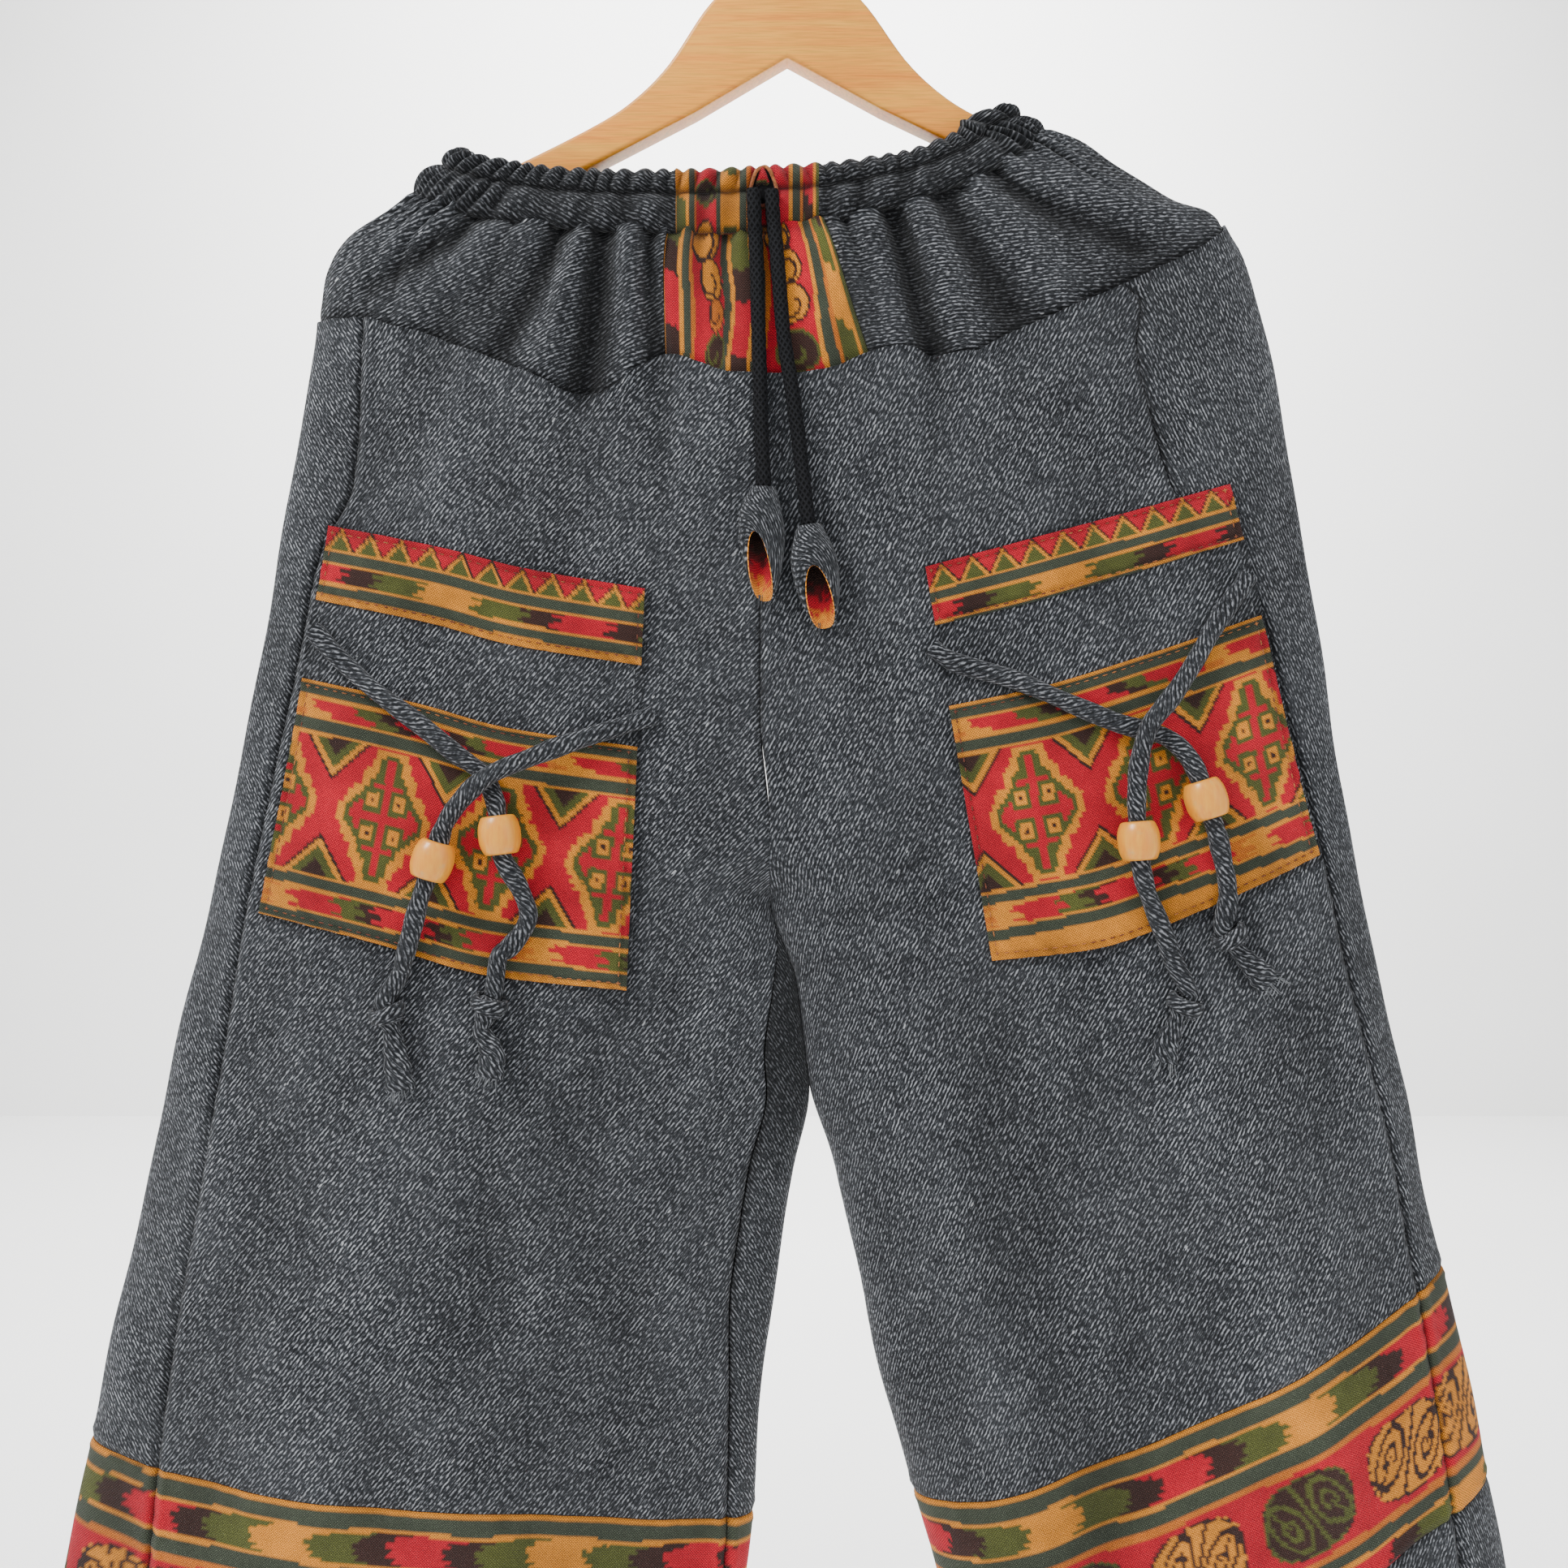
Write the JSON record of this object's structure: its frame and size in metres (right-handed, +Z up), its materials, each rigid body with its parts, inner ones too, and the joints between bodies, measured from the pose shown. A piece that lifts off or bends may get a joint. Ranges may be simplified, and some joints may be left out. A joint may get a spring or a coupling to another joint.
{
  "type": "wool trousers on a wooden hanger",
  "caption": "Wide charcoal wool trousers with a gathered drawstring waist, woven borders, patch pockets and beaded ties, hanging on a wooden hanger.",
  "frame": {"origin": "Inner top of the hanger's hook, where it rests on a rail.", "axes": "+X to the viewer's right along the hanger, +Y from the front of the trousers to the back, +Z up."},
  "size_m": [0.8028, 0.0857, 1.1656],
  "materials": {
    "charcoal_twill": "heavy grey wool twill, matt, slightly felted",
    "border_cloth": "woven border cloth, matt, in red, yellow, olive and brown",
    "black_cord": "braided cord, matt",
    "pale_bead": "turned and varnished, glossy",
    "hanger_wood": "sanded, satin lacquer",
    "hook_steel": "bright wire"
  },
  "bodies": {
    "root": {"bead_left_inner": "pale_bead", "bead_left_outer": "pale_bead", "bead_right_inner": "pale_bead", "bead_right_outer": "pale_bead", "border_back_left": "border_cloth", "border_back_right": "border_cloth", "border_front_left": "border_cloth", "border_front_right": "border_cloth", "casing_centre": "border_cloth", "casing_left": "charcoal_twill", "casing_right": "charcoal_twill", "centre_panel": "border_cloth", "cord_leaf_left": "charcoal_twill", "cord_leaf_right": "charcoal_twill", "drawstring_left": "black_cord", "drawstring_right": "black_cord", "hanger": "hanger_wood", "hanger_hook": "hook_steel", "knot_left_inner": "charcoal_twill", "knot_left_outer": "charcoal_twill", "knot_right_inner": "charcoal_twill", "knot_right_outer": "charcoal_twill", "leg_back_left": "charcoal_twill", "leg_back_right": "charcoal_twill", "leg_front_left": "charcoal_twill", "leg_front_right": "charcoal_twill", "lower_back_left": "charcoal_twill", "lower_back_right": "charcoal_twill", "lower_front_left": "charcoal_twill", "lower_front_right": "charcoal_twill", "pocket_band_left": "border_cloth", "pocket_band_right": "border_cloth", "pocket_left": "charcoal_twill", "pocket_patch_left": "border_cloth", "pocket_patch_right": "border_cloth", "pocket_right": "charcoal_twill", "tie_left_inner": "charcoal_twill", "tie_left_outer": "charcoal_twill", "tie_right_inner": "charcoal_twill", "tie_right_outer": "charcoal_twill", "yoke_left": "charcoal_twill", "yoke_right": "charcoal_twill"}
  },
  "joints": []
}
